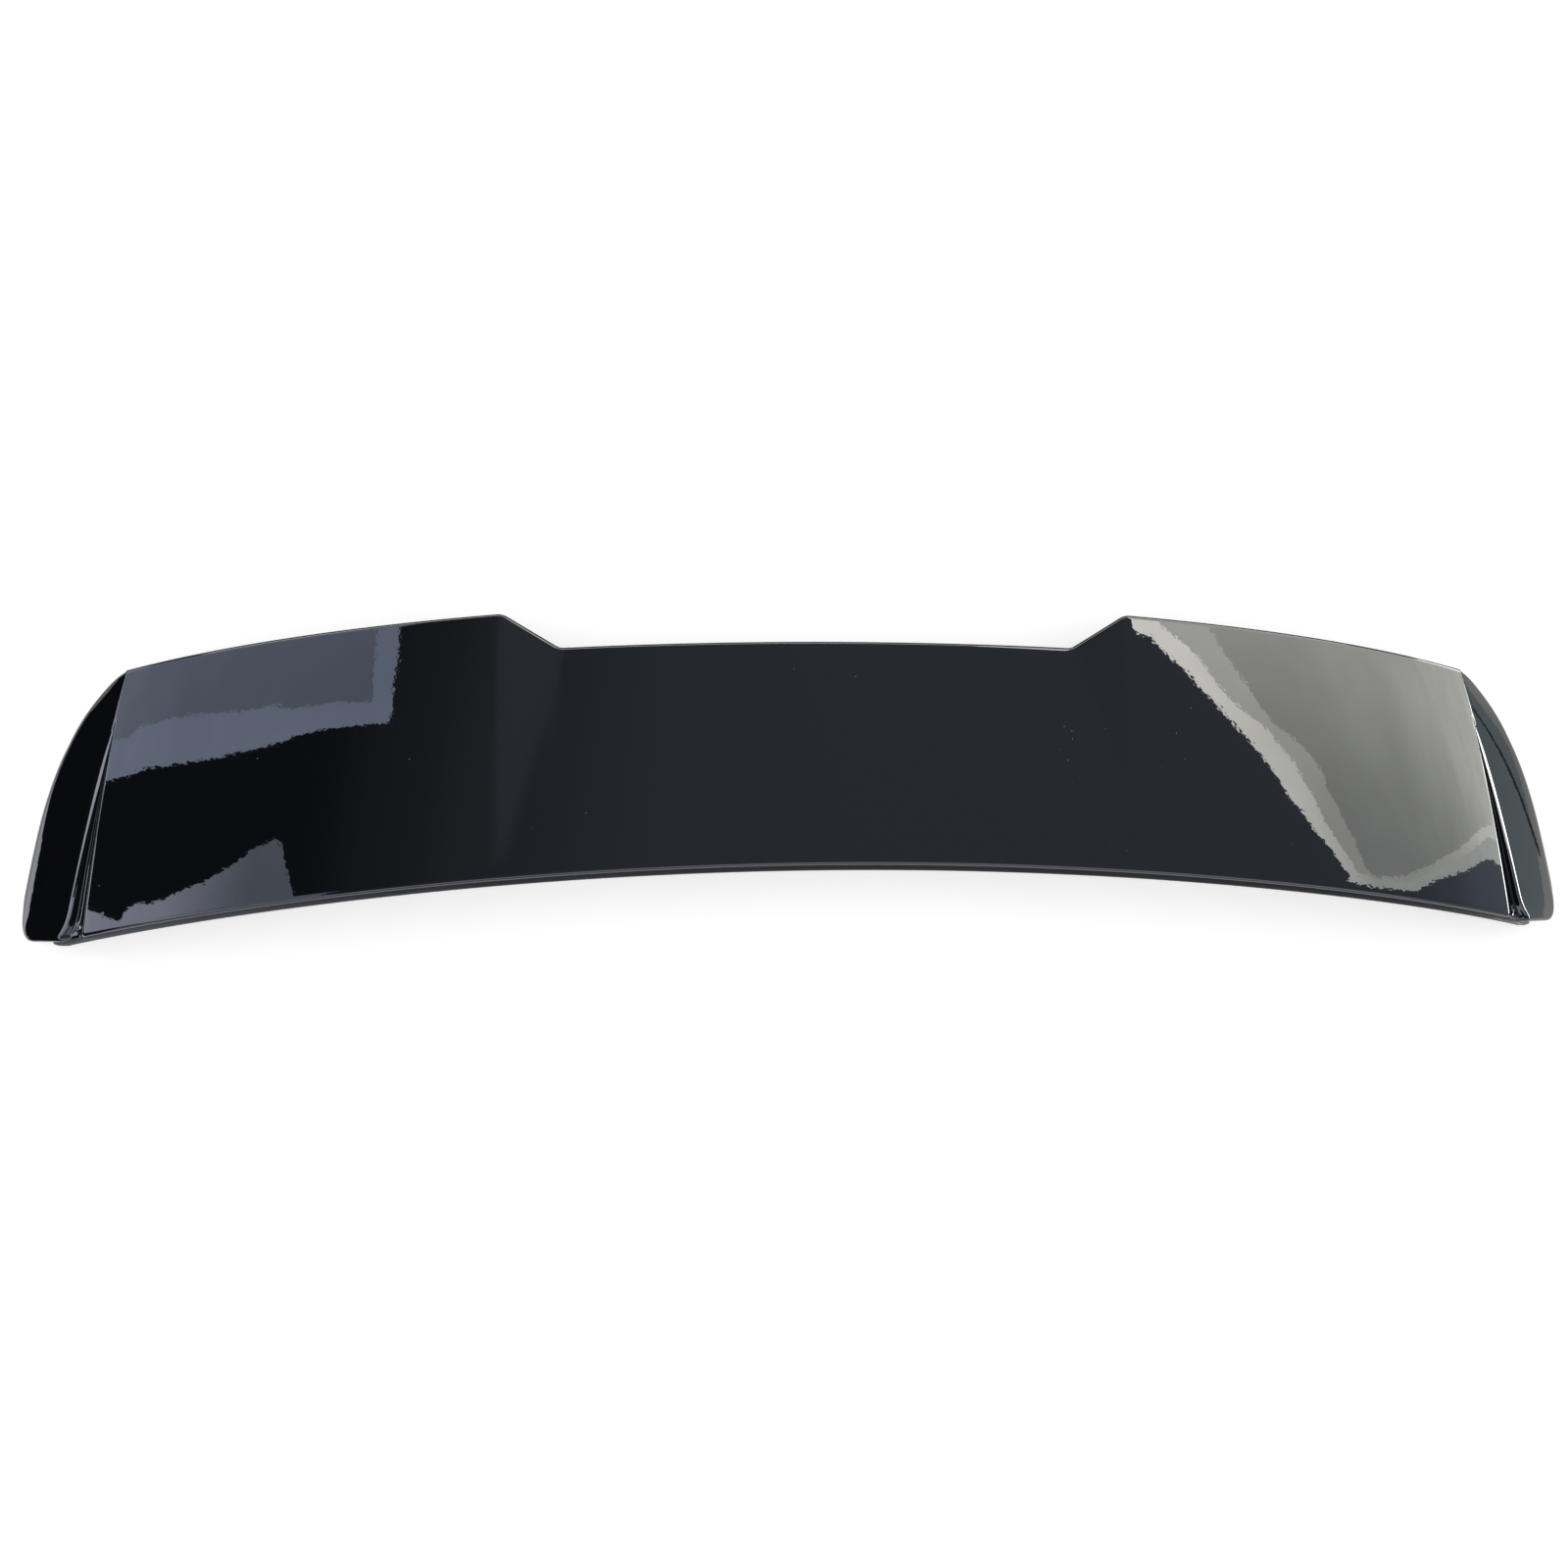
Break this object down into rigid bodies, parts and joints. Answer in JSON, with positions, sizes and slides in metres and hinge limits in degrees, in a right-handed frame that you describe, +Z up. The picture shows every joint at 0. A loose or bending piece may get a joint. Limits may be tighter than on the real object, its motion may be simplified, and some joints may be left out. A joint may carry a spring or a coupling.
{
  "type": "roof spoiler",
  "caption": "Roof spoiler with a gloss outer skin bonded on a satin lower skin, notched trailing edge, side channels and wrapped cheeks, threaded inserts below.",
  "frame": {"origin": "middle of the footprint, on the plane that the cheek feet and the rear corners rest on", "axes": "+X to the right across the car, +Y to the rear, +Z up"},
  "size_m": [1.1882, 0.2427, 0.0912],
  "materials": {
    "gloss_black": "deep gloss black, mirror-like, very slight orange peel",
    "satin_black": "fine-grained satin black moulding",
    "insert_brass": "turned brass, knurled bands",
    "seal_foam": "closed-cell foam, matt",
    "acrylic_tape": "dark grey acrylic foam tape"
  },
  "bodies": {
    "root": {"upper_skin": "gloss_black", "lower_skin": "satin_black", "insert_outer_left": "insert_brass", "insert_inner_left": "insert_brass", "insert_inner_right": "insert_brass", "insert_outer_right": "insert_brass", "washer_outer_left": "seal_foam", "washer_inner_left": "seal_foam", "washer_inner_right": "seal_foam", "washer_outer_right": "seal_foam", "tape_left": "acrylic_tape", "tape_centre": "acrylic_tape", "tape_right": "acrylic_tape", "cheek_foam_left": "seal_foam", "cheek_foam_right": "seal_foam"}
  },
  "joints": []
}
